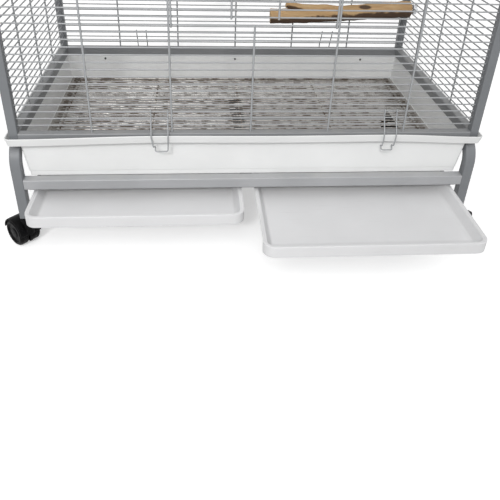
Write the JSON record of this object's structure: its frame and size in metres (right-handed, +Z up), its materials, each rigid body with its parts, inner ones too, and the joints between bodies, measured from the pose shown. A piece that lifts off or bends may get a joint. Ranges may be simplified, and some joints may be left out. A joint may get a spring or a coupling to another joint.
{
  "type": "bird_cage",
  "caption": "Tall wire flight cage with a drop-down door, white base pan, floor grid, two pull-out trays and a grey tube stand on swivel casters",
  "frame": {"origin": "on the floor, under the middle of the footprint with both trays as they stand at rest", "axes": "+X along the cage's width to the right as seen from the front, +Y from the front to the back, +Z up"},
  "size_m": [0.9546, 0.6667, 1.4315],
  "materials": {
    "frame_paint": "satin grey powder coat on steel tube",
    "wire_coat": "satin light grey coat on welded steel wire",
    "white_plastic": "smooth moulded white plastic with fine scuffs",
    "grid_steel": "bright plated wire, dulled in places",
    "black_plastic": "moulded black nylon with a fine grain",
    "zinc_steel": "zinc plated steel",
    "branch_wood": "peeled natural branch with dark bark left underneath"
  },
  "bodies": {
    "stand_and_cage": {"stand_left_frame": "frame_paint", "stand_right_frame": "frame_paint", "stand_front_rail": "frame_paint", "stand_back_rail": "frame_paint", "rail_end_plugs": "black_plastic", "stand_screws": "zinc_steel", "left_tray_runner": "frame_paint", "centre_tray_runner": "frame_paint", "right_tray_runner": "frame_paint", "leg_sockets": "black_plastic", "base_pan": "white_plastic", "pan_studs": "black_plastic", "floor_grid": "grid_steel", "front_left_post": "frame_paint", "front_right_post": "frame_paint", "back_left_post": "frame_paint", "back_right_post": "frame_paint", "front_bottom_rail": "frame_paint", "back_bottom_rail": "frame_paint", "left_bottom_rail": "frame_paint", "right_bottom_rail": "frame_paint", "front_top_rail": "frame_paint", "back_top_rail": "frame_paint", "left_top_rail": "frame_paint", "right_top_rail": "frame_paint", "post_caps": "black_plastic", "front_panel_lower": "wire_coat", "front_panel_left": "wire_coat", "front_panel_right": "wire_coat", "front_panel_upper": "wire_coat", "back_panel": "wire_coat", "left_panel": "wire_coat", "right_panel": "wire_coat", "roof_panel": "wire_coat", "perch": "branch_wood", "perch_bolt": "zinc_steel", "perch_washers": "zinc_steel", "perch_wing_nut": "zinc_steel"},
    "left_tray_body": {"left_tray": "white_plastic"},
    "right_tray_body": {"right_tray": "white_plastic"},
    "door": {"main_door": "wire_coat"},
    "front_left_clip_body": {"front_left_clip": "wire_coat"},
    "front_right_clip_body": {"front_right_clip": "wire_coat"},
    "back_left_clip_body": {"back_left_clip": "wire_coat"},
    "back_right_clip_body": {"back_right_clip": "wire_coat"},
    "front_left_caster": {"front_left_caster_housing": "black_plastic"},
    "front_left_wheels": {"front_left_caster_wheels": "black_plastic", "front_left_caster_axle": "zinc_steel"},
    "front_right_caster": {"front_right_caster_housing": "black_plastic"},
    "front_right_wheels": {"front_right_caster_wheels": "black_plastic", "front_right_caster_axle": "zinc_steel"},
    "back_left_caster": {"back_left_caster_housing": "black_plastic"},
    "back_left_wheels": {"back_left_caster_wheels": "black_plastic", "back_left_caster_axle": "zinc_steel"},
    "back_right_caster": {"back_right_caster_housing": "black_plastic"},
    "back_right_wheels": {"back_right_caster_wheels": "black_plastic", "back_right_caster_axle": "zinc_steel"}
  },
  "joints": [
    {"name": "left_tray_slide", "type": "slide", "parent": "stand_and_cage", "child": "left_tray_body", "axis": [0, -1, 0], "range_m": [-0.073, 0.307]},
    {"name": "right_tray_slide", "type": "slide", "parent": "stand_and_cage", "child": "right_tray_body", "axis": [0, -1, 0], "range_m": [-0.17, 0.21]},
    {"name": "door_hinge", "type": "hinge", "parent": "stand_and_cage", "child": "door", "pos_m": [0, -0.14885, 0.44183], "axis": [1, 0, 0], "range_deg": [0, 145]},
    {"name": "front_left_clip_hinge", "type": "hinge", "parent": "stand_and_cage", "child": "front_left_clip_body", "pos_m": [-0.1625, -0.14885, 0.28717], "axis": [-1, 0, 0], "range_deg": [0, 130]},
    {"name": "front_right_clip_hinge", "type": "hinge", "parent": "stand_and_cage", "child": "front_right_clip_body", "pos_m": [0.254, -0.14885, 0.28717], "axis": [-1, 0, 0], "range_deg": [0, 130]},
    {"name": "back_left_clip_hinge", "type": "hinge", "parent": "stand_and_cage", "child": "back_left_clip_body", "pos_m": [-0.229, 0.31215, 0.28717], "axis": [1, 0, 0], "range_deg": [0, 130]},
    {"name": "back_right_clip_hinge", "type": "hinge", "parent": "stand_and_cage", "child": "back_right_clip_body", "pos_m": [0.229, 0.31215, 0.28717], "axis": [1, 0, 0], "range_deg": [0, 130]},
    {"name": "front_left_swivel", "type": "hinge", "parent": "stand_and_cage", "child": "front_left_caster", "pos_m": [-0.4245, -0.14885, 0.064], "axis": [0, 0, 1], "continuous": true},
    {"name": "front_left_roll", "type": "hinge", "parent": "front_left_caster", "child": "front_left_wheels", "pos_m": [-0.44006, -0.13329, 0.0275], "axis": [-0.7071, -0.7071, 0], "continuous": true},
    {"name": "front_right_swivel", "type": "hinge", "parent": "stand_and_cage", "child": "front_right_caster", "pos_m": [0.4245, -0.14885, 0.064], "axis": [0, 0, 1], "continuous": true},
    {"name": "front_right_roll", "type": "hinge", "parent": "front_right_caster", "child": "front_right_wheels", "pos_m": [0.44006, -0.13329, 0.0275], "axis": [-0.7071, 0.7071, 0], "continuous": true},
    {"name": "back_left_swivel", "type": "hinge", "parent": "stand_and_cage", "child": "back_left_caster", "pos_m": [-0.4245, 0.31215, 0.064], "axis": [0, 0, 1], "continuous": true},
    {"name": "back_left_roll", "type": "hinge", "parent": "back_left_caster", "child": "back_left_wheels", "pos_m": [-0.43202, 0.29148, 0.0275], "axis": [0.9397, -0.342, 0], "continuous": true},
    {"name": "back_right_swivel", "type": "hinge", "parent": "stand_and_cage", "child": "back_right_caster", "pos_m": [0.4245, 0.31215, 0.064], "axis": [0, 0, 1], "continuous": true},
    {"name": "back_right_roll", "type": "hinge", "parent": "back_right_caster", "child": "back_right_wheels", "pos_m": [0.43202, 0.29148, 0.0275], "axis": [0.9397, 0.342, 0], "continuous": true}
  ]
}
